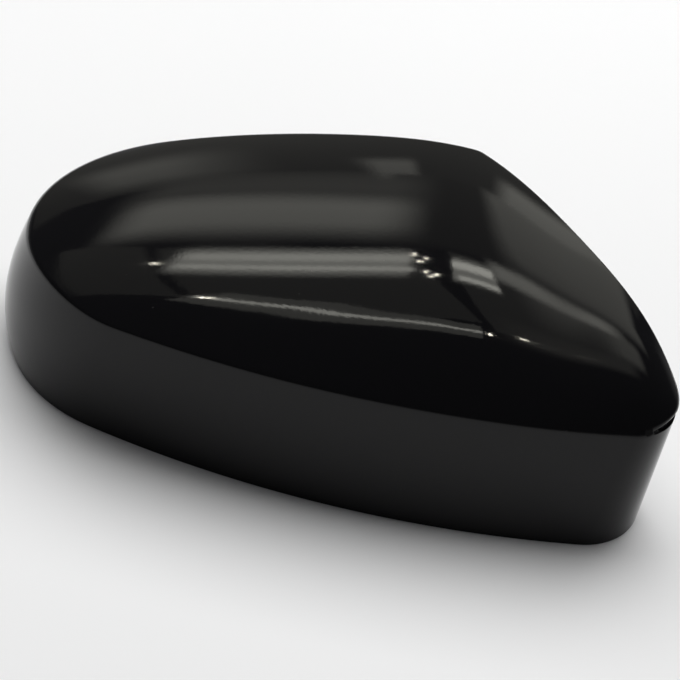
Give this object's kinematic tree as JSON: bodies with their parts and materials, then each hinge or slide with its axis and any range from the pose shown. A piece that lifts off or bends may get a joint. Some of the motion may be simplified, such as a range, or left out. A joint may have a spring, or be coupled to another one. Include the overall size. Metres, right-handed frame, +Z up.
{
  "type": "wing mirror cover",
  "caption": "Gloss black moulded cover for a car's wing mirror: a domed shell with a crease round it, a rim wall, a far side open for the mirror's foot, and snap clips inside.",
  "frame": {"origin": "on the surface the cover lies on, under the middle of its box", "axes": "+Z up from the rim to the dome, +X along the long near wall towards the blunt tip, -Y towards the near wall"},
  "size_m": [0.24, 0.1362, 0.0752],
  "materials": {
    "cover": "gloss black outside, plain moulded black inside"
  },
  "bodies": {
    "root": {"mirror_cover": "cover"}
  },
  "joints": []
}
